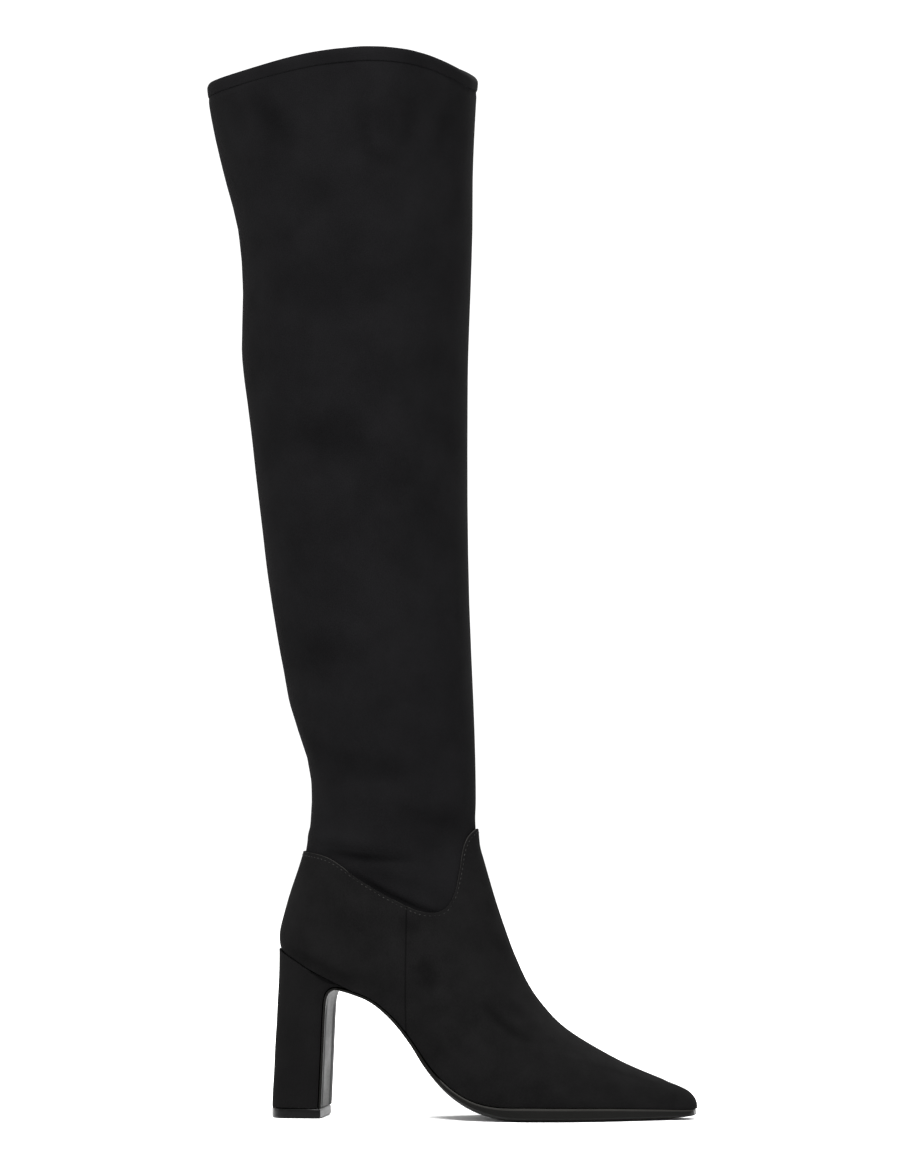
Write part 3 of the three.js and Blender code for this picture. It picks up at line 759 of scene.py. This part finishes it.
def outward_facing(piece, middle):
    """Turns the faces out where most of them look in, seen from a middle point."""
    some = list(piece.data.polygons)[:: max(1, len(piece.data.polygons) // 400)]
    score = sum(np.sign(p.normal.dot(p.center - Vector(middle))) for p in some)
    if score < 0:
        only(piece)
        bpy.ops.object.mode_set(mode="EDIT")
        bpy.ops.mesh.select_all(action="SELECT")
        bpy.ops.mesh.flip_normals()
        bpy.ops.object.mode_set(mode="OBJECT")
    return score


def give_wall(piece, thickness):
    for _ in (OUTSIDE, LINING, RAW_EDGE_AND_HIGHLIGHT):
        piece.data.materials.append(None)
    apply(
        piece, "SOLIDIFY", thickness=thickness, offset=-1.0, use_even_offset=True,
        material_offset=LINING, material_offset_rim=RAW_EDGE_AND_HIGHLIGHT,
    )
    apply(
        piece, "BEVEL", width=EDGE_ROUND, segments=2, limit_method="ANGLE",
        angle_limit=EDGE_ANGLE, use_clamp_overlap=True,
    )
    only(piece)
    bpy.ops.object.shade_smooth()
    print(piece.name, len(piece.data.polygons), "faces")


print("facing out:", outward_facing(shaft, (-0.05, 0.0, 0.35)), outward_facing(foot, (-0.01, 0.0, 0.06)))

# %% [markdown]
# The hem is the shaft's own cloth, turned in at the rim, so it is twice as thick. Its stitching draws it in
# a little, and its lower line shows as a fine step. It is a short tube of its own, laid along the rim,
# crowned between its edges, thickened and rounded. The walls of foot and shaft are given here too.

# %% The turned hem
HEM_RINGS = 10
HEM_THICK = 2.7 * MM
HEM_ROUND = 1.15 * MM
HEM_CROWN = 0.20 * MM
HEM_STEP_IN = 0.75 * MM
HEM_ROLL = 1.5 * MM
ROLL_FROM = 0.6
HEM_PROBE = (0.90, 0.10)
HEM_BELOW_RIM = 0.1 * MM

hem_shares = np.linspace(0.0, 1.0, HEM_RINGS)
hem_foot, hem_head = (rim - HEM_HEIGHT * share for share in HEM_PROBE)
hem_grid = evened(leg_grid(top_turn, hem_foot, top_turn, hem_head, hem_shares), FACET_PASSES)
hem_rise = hem_shares[:, None] * (HEM_HEIGHT - HEM_BELOW_RIM)
hem_grid[:, :, 2] = (rim_top - HEM_HEIGHT)[None, :] + hem_rise
hem, hem_numbers = tube("boot_hem", HEM_RINGS, (-0.06, 0.0, 0.58), 0.07, HEM_HEIGHT)
place(hem, hem_numbers, hem_grid)
outward_facing(hem, (-0.06, 0.0, 0.58))
roll = HEM_ROLL * np.clip((hem_shares - ROLL_FROM) / (1 - ROLL_FROM), 0, 1) ** 2
crown = HEM_CROWN * np.sin(math.pi * hem_shares) - HEM_STEP_IN - roll
hem_points = coordinates(hem)
hem_points[hem_numbers] += normals_of(hem)[hem_numbers] * crown[:, None, None]
hem.data.vertices.foreach_set("co", hem_points.reshape(-1))
give_wall(foot, WALL)
give_wall(shaft, WALL)
apply(hem, "SOLIDIFY", thickness=HEM_THICK, offset=-1.0, use_even_offset=True)
apply(hem, "BEVEL", width=HEM_ROUND, segments=4, limit_method="ANGLE", angle_limit=EDGE_ANGLE)
only(hem)
bpy.ops.object.shade_smooth()
print("hem", len(hem.data.polygons), "faces")

# %% [markdown]
# The sole, the heel and its lift are hard, and their solids already have the right shape. A merged copy of
# each gets its squares back. Its sharp edges are creased, so that subdividing rounds the curves and keeps
# the corners.

# %% Hard pieces
FLAT_ANGLE = math.radians(12)
ANY_SHAPE = math.radians(170)
CORNER = math.radians(28)
SMOOTH_ANGLE = math.radians(35)


def squares_of(node, name):
    piece = copy_of(node, name)
    bpy.ops.object.mode_set(mode="EDIT")
    bpy.ops.mesh.select_all(action="SELECT")
    bpy.ops.mesh.dissolve_degenerate(threshold=SLIVER)
    bpy.ops.mesh.tris_convert_to_quads(face_threshold=FLAT_ANGLE, shape_threshold=ANY_SHAPE)
    bpy.ops.object.mode_set(mode="OBJECT")
    return piece


def select_edges(piece, wanted):
    """Leaves the piece in edit mode with the wanted edges selected, and gives their number."""
    bpy.ops.object.mode_set(mode="EDIT")
    bpy.ops.mesh.select_mode(type="EDGE")
    bpy.ops.mesh.select_all(action="DESELECT")
    mesh = bmesh.from_edit_mesh(piece.data)
    count = 0
    for edge in mesh.edges:
        if wanted(edge):
            edge.select_set(True)
            count += 1
    bmesh.update_edit_mesh(piece.data)
    return count


def is_corner(edge):
    return len(edge.link_faces) == 2 and edge.calc_face_angle() > CORNER


def finish_hard(piece, crease, levels):
    only(piece)
    count = select_edges(piece, is_corner)
    bpy.ops.transform.edge_crease(value=crease)
    bpy.ops.mesh.select_mode(type="VERT")
    bpy.ops.object.mode_set(mode="OBJECT")
    apply(piece, "SUBSURF", levels=levels, render_levels=levels)
    only(piece)
    bpy.ops.object.shade_smooth_by_angle(angle=SMOOTH_ANGLE)
    print(piece.name, count, "corner edges,", len(piece.data.polygons), "faces")
    return piece


# %% [markdown]
# A cut sole is trimmed and its edge is broken, so along the suede it catches a thin line of light. The edges
# of that outline are found by their two faces, one nearly level and one steep, and bevelled. The bevel's
# faces take a material of their own, paler than the sole, a painted highlight for that line. The toe, which
# springs a little too high, is let down from below.

# %% The sole's edge
SOLE_EDGE_ROUND = 0.55 * MM
PAINTED_EDGE_HIGHLIGHT = 1
LEVEL_FACE = 0.75
STEEP_FACE = 0.6
WAIST_END = -15 * MM
TOE_REST = 0.9 * MM
TOE_REST_FROM = 100 * MM
TOE_REST_RUN = 36 * MM
LOOKS_DOWN = -0.3


def is_upper_outline(edge):
    """The edge of the forefoot sole that stands out beside the suede."""
    if len(edge.link_faces) != 2:
        return False
    slopes = sorted(face.normal.z for face in edge.link_faces)
    return slopes[1] > LEVEL_FACE and slopes[0] < STEEP_FACE and edge.verts[0].co.x > WAIST_END


def break_edge(piece):
    only(piece)
    for _ in (OUTSIDE, PAINTED_EDGE_HIGHLIGHT):
        piece.data.materials.append(None)
    count = select_edges(piece, is_upper_outline)
    bpy.ops.mesh.bevel(offset=SOLE_EDGE_ROUND, segments=2)
    bpy.ops.object.mode_set(mode="OBJECT")
    # The bevel's faces get the paler material: a painted highlight along the sole's top edge.
    for polygon in piece.data.polygons:
        polygon.material_index = PAINTED_EDGE_HIGHLIGHT if polygon.select else OUTSIDE
    return count


def let_toe_down(piece):
    points = coordinates(piece)
    toward_toe = np.clip((points[:, 0] - TOE_REST_FROM) / TOE_REST_RUN, 0, 1)
    is_under = normals_of(piece)[:, 2] < LOOKS_DOWN
    points[:, 2] -= TOE_REST * toward_toe * is_under
    piece.data.vertices.foreach_set("co", points.reshape(-1))
    piece.data.update()
    return points[:, 2].min()


sole = squares_of("outsole", "boot_sole")
print("sole edge:", break_edge(sole), "edges rounded, lowest point", round(let_toe_down(sole) / MM, 2), "mm")

# %% [markdown]
# The sole runs on down the front of the heel as a thin flap, pressed on so that its middle lies hollow
# with a groove near each side. The edges that cross it are cut into ten, the new points are spread by
# listed shares and pressed in by listed depths, which fade out at the arch. The grooves keep a mark,
# because glue and brush leave them less shiny.

# %% The front of the heel
ACROSS_CUTS = 9
ACROSS_SHARES = (0.035, 0.070, 0.120, 0.260, 0.500, 0.740, 0.880, 0.930, 0.965)
ACROSS_DEPTHS = (0.00, -0.35, -0.25, -0.45, -0.60, -0.45, -0.25, -0.35, 0.00)
RUBBED_ROWS = (2, 6)
FLAP_TOP = 70 * MM
FLAP_FADE = 12 * MM
FLAP_WIDE = 30 * MM
FLAP_END = -20 * MM
FACES_FORWARD = 0.5
LEVEL_WITHIN = 0.5 * MM
SAME_PLACE = 0.05 * MM


def is_across(edge):
    """An edge from side to side, on the front of the heel or under the arch."""
    a, b = (vertex.co for vertex in edge.verts)
    is_level = abs(a.z - b.z) < LEVEL_WITHIN and abs(a.x - b.x) < LEVEL_WITHIN
    looks_out = all(face.normal.x - face.normal.z > FACES_FORWARD for face in edge.link_faces)
    return abs(a.y - b.y) > FLAP_WIDE and is_level and looks_out and a.x < FLAP_END


def row_of(point):
    """The same for all new points of one crossing edge."""
    return round(point[0] / SAME_PLACE), round(point[2] / SAME_PLACE)


def hollow_flap(piece):
    only(piece)
    old_count = len(piece.data.vertices)
    rows = select_edges(piece, is_across)
    bpy.ops.mesh.subdivide(number_cuts=ACROSS_CUTS)
    bpy.ops.mesh.select_mode(type="VERT")
    bpy.ops.object.mode_set(mode="OBJECT")
    points = coordinates(piece)
    new = np.arange(old_count, len(points))
    half = {}
    for point in points[new]:
        half[row_of(point)] = max(half.get(row_of(point), 0.0), abs(point[1]))
    rub = np.zeros(len(points))
    for v in new:
        widest = half[row_of(points[v])] * (ACROSS_CUTS + 1) / (ACROSS_CUTS - 1)
        number = int(round((points[v, 1] / widest + 1) / 2 * (ACROSS_CUTS + 1))) - 1
        number = min(max(number, 0), ACROSS_CUTS - 1)
        fade = np.clip((FLAP_TOP - points[v, 2]) / FLAP_FADE, 0, 1)
        points[v, 1] = (2 * ACROSS_SHARES[number] - 1) * widest
        points[v, 0] += ACROSS_DEPTHS[number] * MM * fade
        rub[v] = fade if number in RUBBED_ROWS else 0.0
    piece.data.vertices.foreach_set("co", points.reshape(-1))
    piece.data.attributes.new("rub", "FLOAT", "POINT").data.foreach_set("value", rub)
    piece.data.update()
    print("flap:", rows, "rows across")


hollow_flap(sole)
finish_hard(sole, 0.85, 2)

# %% The heel and its lift
heel = finish_hard(squares_of("heel", "boot_heel"), 0.75, 2)
lift = finish_hard(squares_of("top_lift", "boot_lift"), 0.85, 2)
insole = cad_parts["insole"]

# %% [markdown]
# Imitation suede is a felt of very fine fibres. From a step away it is an even, deep black with soft
# clouds where the nap lies another way. One node group makes that for all the suede: fine specks for the
# fibres, wide clouds for the brushed nap, and a height for the bump.

# %% Node helpers
def new_group(name, inputs, outputs):
    group = bpy.data.node_groups.new(name, "ShaderNodeTree")
    for title, value in inputs:
        socket = group.interface.new_socket(name=title, in_out="INPUT", socket_type="NodeSocketFloat")
        socket.default_value = value
    for title, kind in outputs:
        group.interface.new_socket(name=title, in_out="OUTPUT", socket_type=kind)
    entry = group.nodes.new("NodeGroupInput")
    exit_node = group.nodes.new("NodeGroupOutput")
    return group, entry, exit_node


def add(tree, kind, **settings):
    node = tree.nodes.new(kind)
    for name, value in settings.items():
        setattr(node, name, value)
    return node


def noise(tree, vector, scale, detail=2.0, rough=0.5):
    node = add(tree, "ShaderNodeTexNoise")
    node.inputs["Scale"].default_value = scale
    node.inputs["Detail"].default_value = detail
    node.inputs["Roughness"].default_value = rough
    tree.links.new(vector, node.inputs["Vector"])
    return node


def calc(tree, operation, a, b):
    node = add(tree, "ShaderNodeMath", operation=operation)
    for socket, value in zip(node.inputs, (a, b)):
        if isinstance(value, (int, float)):
            socket.default_value = value
        else:
            tree.links.new(value, socket)
    return node.outputs[0]


def spread(tree, value, low, high, to_low, to_high):
    node = add(tree, "ShaderNodeMapRange")
    tree.links.new(value, node.inputs["Value"])
    for title, number in (("From Min", low), ("From Max", high), ("To Min", to_low), ("To Max", to_high)):
        node.inputs[title].default_value = number
    return node.outputs["Result"]


# %% Nap
def make_nap():
    inputs = (("Fibre Scale", 1500.0), ("Cloud Scale", 55.0), ("Cloud", 0.3), ("Speck", 0.25))
    outputs = (("Shade", "NodeSocketFloat"), ("Height", "NodeSocketFloat"))
    group, entry, leave = new_group("nap", inputs, outputs)
    place_node = add(group, "ShaderNodeTexCoord")
    where = place_node.outputs["Object"]
    fibre = noise(group, where, 1500.0, 2.0, 0.6)
    group.links.new(entry.outputs["Fibre Scale"], fibre.inputs["Scale"])
    cloud = noise(group, where, 55.0, 3.0, 0.55)
    group.links.new(entry.outputs["Cloud Scale"], cloud.inputs["Scale"])
    off_fibre = calc(group, "SUBTRACT", fibre.outputs["Fac"], 0.5)
    off_cloud = calc(group, "SUBTRACT", cloud.outputs["Fac"], 0.5)
    speck = calc(group, "MULTIPLY", off_fibre, entry.outputs["Speck"])
    patch = calc(group, "MULTIPLY", off_cloud, entry.outputs["Cloud"])
    both = calc(group, "ADD", speck, patch)
    shade = calc(group, "ADD", calc(group, "MULTIPLY", both, 2.0), 1.0)
    height = calc(group, "ADD", fibre.outputs["Fac"], calc(group, "MULTIPLY", cloud.outputs["Fac"], 0.5))
    group.links.new(shade, leave.inputs["Shade"])
    group.links.new(height, leave.inputs["Height"])
    return group


nap = make_nap()
print("group", nap.name)

# %% [markdown]
# The nap scatters a little light at grazing angles, which the sheen of the Principled shader does. Its own
# gloss is almost nothing, and the clouds of the nap change the colour and the roughness a little. Shade is
# painted into the colour in the troughs of the folds, and a fine darker line is drawn along each sewn line.

# %% Suede
SEAM_SHADE = 0.55
# Painted shade of the fold troughs: the colour falls to this share at a fold this many mm deep.
DEEP_FOLD = -1.5
PAINTED_TROUGH_SHADE = 0.42


def principled(material):
    return next(n for n in material.node_tree.nodes if n.type == "BSDF_PRINCIPLED")


def shaded_colour(tree, colour, shade, shader):
    mix = add(tree, "ShaderNodeVectorMath", operation="SCALE")
    mix.inputs[0].default_value = colour
    tree.links.new(shade, mix.inputs["Scale"])
    tree.links.new(mix.outputs[0], shader.inputs["Base Color"])


def bump(tree, height, shader, strength, distance):
    node = add(tree, "ShaderNodeBump")
    node.inputs["Strength"].default_value = strength
    node.inputs["Distance"].default_value = distance
    tree.links.new(height, node.inputs["Height"])
    tree.links.new(node.outputs["Normal"], shader.inputs["Normal"])


def new_material(name):
    material = bpy.data.materials.new(name)
    material.use_nodes = True
    return material, material.node_tree, principled(material)


def attribute(tree, name):
    return add(tree, "ShaderNodeAttribute", attribute_name=name).outputs["Fac"]


def seam_mask(tree, along, across, low, high, wide, line):
    """Darkens a thin line: where one coordinate follows another, and a third is beyond a limit."""
    where = add(tree, "ShaderNodeSeparateXYZ")
    tree.links.new(add(tree, "ShaderNodeTexCoord").outputs["Object"], where.inputs[0])
    slope = (high[1] - low[1]) / (high[0] - low[0])
    leaning = calc(tree, "MULTIPLY", where.outputs[along], slope)
    wanted = calc(tree, "ADD", leaning, low[1] - slope * low[0])
    away = calc(tree, "ABSOLUTE", calc(tree, "SUBTRACT", where.outputs[across], wanted), 0.0)
    dark = spread(tree, away, line * 0.5, line * 1.5, SEAM_SHADE, 1.0)
    beyond = calc(tree, "GREATER_THAN", calc(tree, "MULTIPLY", where.outputs[wide[0]], wide[1]), wide[2])
    both = calc(tree, "MULTIPLY", calc(tree, "SUBTRACT", 1.0, dark), beyond)
    return calc(tree, "SUBTRACT", 1.0, both)


def suede(name, colour, sheen, cloud_scale, cloud, speck, seams=()):
    material, tree, shader = new_material(name)
    node = add(tree, "ShaderNodeGroup")
    node.node_tree = nap
    node.inputs["Cloud Scale"].default_value = cloud_scale
    node.inputs["Cloud"].default_value = cloud
    node.inputs["Speck"].default_value = speck
    # Painted shade: the colour is darkened by the depth of the fold troughs kept on the mesh.
    painted_trough_shade = spread(tree, attribute(tree, "fold"), DEEP_FOLD, 0.0, PAINTED_TROUGH_SHADE, 1.0)
    shade = calc(tree, "MULTIPLY", node.outputs["Shade"], painted_trough_shade)
    for seam_line in seams:
        shade = calc(tree, "MULTIPLY", shade, seam_mask(tree, *seam_line))
    shaded_colour(tree, colour, shade, shader)
    rough = spread(tree, node.outputs["Shade"], 0.6, 1.4, 1.0, 0.9)
    tree.links.new(rough, shader.inputs["Roughness"])
    shader.inputs["Specular IOR Level"].default_value = 0.02
    shader.inputs["Sheen Weight"].default_value = sheen
    shader.inputs["Sheen Roughness"].default_value = 0.5
    shader.inputs["Sheen Tint"].default_value = (0.50, 0.50, 0.42, 1.0)
    bump(tree, node.outputs["Height"], shader, 0.35, 0.25 * MM)
    return material


# %% Seam lines and suedes
SEAM_LINE = 0.45 * MM
BESIDE_MIDDLE = 12 * MM
BEHIND_LEG = 60 * MM
side_low = (0.0, float(side_seam_place(0.0)))
side_high = (float(seam[:, 2].min()), float(side_seam_place(seam[:, 2].min())))
outer_side_seam = ("Z", "X", side_low, side_high, ("Y", -1.0, BESIDE_MIDDLE), SEAM_LINE)
inner_side_seam = ("Z", "X", side_low, side_high, ("Y", 1.0, BESIDE_MIDDLE), SEAM_LINE)
back_seam = ("Z", "Y", (0.0, 0.0), (1.0, 0.0), ("X", -1.0, BEHIND_LEG), SEAM_LINE)
foot_seams = (outer_side_seam, inner_side_seam, back_seam)
foot_suede = suede("suede_foot", (0.0038, 0.0037, 0.0038), 0.002, 60.0, 0.45, 0.32, foot_seams)
leg_suede = suede("suede_leg", (0.0037, 0.0036, 0.0039), 0.002, 35.0, 0.42, 0.25, (back_seam,))
heel_suede = suede("suede_heel", (0.0037, 0.0036, 0.0037), 0.002, 60.0, 0.25, 0.25)
# Paler than the suede: partly the raw felt's own colour, partly a painted highlight of the light on the cut
# edge.
raw_edge_and_highlight = suede("suede_raw_edge_and_highlight", (0.0165, 0.0161, 0.0150), 0.002, 90.0, 0.60, 0.40)
print("side seams from", side_low, "to", side_high)

# %% [markdown]
# What isn't suede is smooth: the polished sole and its trimmed edge, painted paler as a highlight, the
# rubber of the walking piece, the insole, the two linings and the waxed thread. They differ in colour, in
# gloss and in how fine their grain is, so one function makes them all, with fine grain for the bump and slow
# clouds for colour and gloss.

# %% Smooth finishes
CLOUD_TO_GRAIN = 14
GLOSS_CHANGE = 0.15
RUB_DULLS = 0.35


def smooth_finish(name, colour, roughness, grain_scale, grain_depth, specular, change=0.25):
    material, tree, shader = new_material(name)
    where = add(tree, "ShaderNodeTexCoord").outputs["Object"]
    grain = noise(tree, where, grain_scale, 3.0, 0.6)
    cloud = noise(tree, where, grain_scale / CLOUD_TO_GRAIN, 2.0, 0.5)
    shade = spread(tree, cloud.outputs["Fac"], 0.25, 0.75, 1 - change, 1 + change)
    shaded_colour(tree, colour, shade, shader)
    both = calc(tree, "ADD", grain.outputs["Fac"], cloud.outputs["Fac"])
    duller = min(1.0, roughness * (1 + GLOSS_CHANGE))
    rough = spread(tree, both, 0.7, 1.3, roughness * (1 - GLOSS_CHANGE), duller)
    rubbed = calc(tree, "MULTIPLY", attribute(tree, "rub"), RUB_DULLS)
    tree.links.new(calc(tree, "ADD", rough, rubbed), shader.inputs["Roughness"])
    shader.inputs["Specular IOR Level"].default_value = specular
    bump(tree, grain.outputs["Fac"], shader, 0.4, grain_depth)
    return material


sole_gloss = smooth_finish("sole_gloss", (0.0010, 0.0009, 0.0006), 0.44, 700.0, 0.05 * MM, 0.090)
# Paler than the sole: a painted highlight for the line of light on its broken top edge.
painted_sole_highlight = smooth_finish("painted_sole_highlight", (0.0115, 0.0110, 0.0100), 0.50, 700.0, 0.05 * MM, 0.10)
lift_finish = smooth_finish("lift", (0.0010, 0.0009, 0.0009), 0.30, 1400.0, 0.08 * MM, 0.105)
insole_finish = smooth_finish("insole", (0.0110, 0.0098, 0.0090), 0.55, 900.0, 0.10 * MM, 0.3)
foot_lining = smooth_finish("foot_lining", (0.0090, 0.0083, 0.0080), 0.60, 1100.0, 0.08 * MM, 0.2)
leg_lining = smooth_finish("leg_lining", (0.0075, 0.0072, 0.0072), 0.85, 1600.0, 0.15 * MM, 0.1)
thread = smooth_finish("thread", (0.0120, 0.0118, 0.0112), 0.70, 2500.0, 0.05 * MM, 0.1, 1.0)
floor_paint = smooth_finish("floor_paint", (0.90, 0.90, 0.90), 0.9, 4.0, 0.0, 0.1, 0.01)
print("finishes:", len(bpy.data.materials))

# %% [markdown]
# Each piece now gets its materials. Foot and shaft have three slots, in the order of their wall: outside,
# lining and cut edge, the last paler, in part a painted highlight. The sole has two, its polished face and
# its trimmed edge, which is painted paler as a highlight. The others have one.

# %% Dressing the pieces
def wear(piece, *materials):
    slots = piece.data.materials
    while len(slots) < len(materials):
        slots.append(None)
    for number, material in enumerate(materials):
        slots[number] = material


wear(foot, foot_suede, foot_lining, raw_edge_and_highlight)
wear(shaft, leg_suede, leg_lining, raw_edge_and_highlight)
wear(hem, leg_suede)
wear(stitches, thread)
wear(sole, sole_gloss, painted_sole_highlight)
wear(heel, heel_suede)
wear(lift, lift_finish)
wear(insole, insole_finish)
wear(floor, floor_paint)

# %% [markdown]
# Each piece moves with the boot's one body, and the solids that it takes the place of are hidden. The skin
# that served as a pattern is thrown away.

# %% Into the boot's body
bpy.data.objects.remove(foot_skin)
for piece, slot, nodes in (
    (foot, "upper_suede", ["upper"]),
    (shaft, "shaft_suede", ["shaft"]),
    (hem, "shaft_suede", []),
    (stitches, "upper_suede", []),
    (sole, "sole_gloss", ["outsole"]),
    (heel, "heel_suede", ["heel"]),
    (lift, "lift", ["top_lift"]),
):
    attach(piece, "root")
    if nodes:
        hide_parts(*nodes)
    print(piece.name, sum(len(p.vertices) - 2 for p in piece.data.polygons), "triangles")
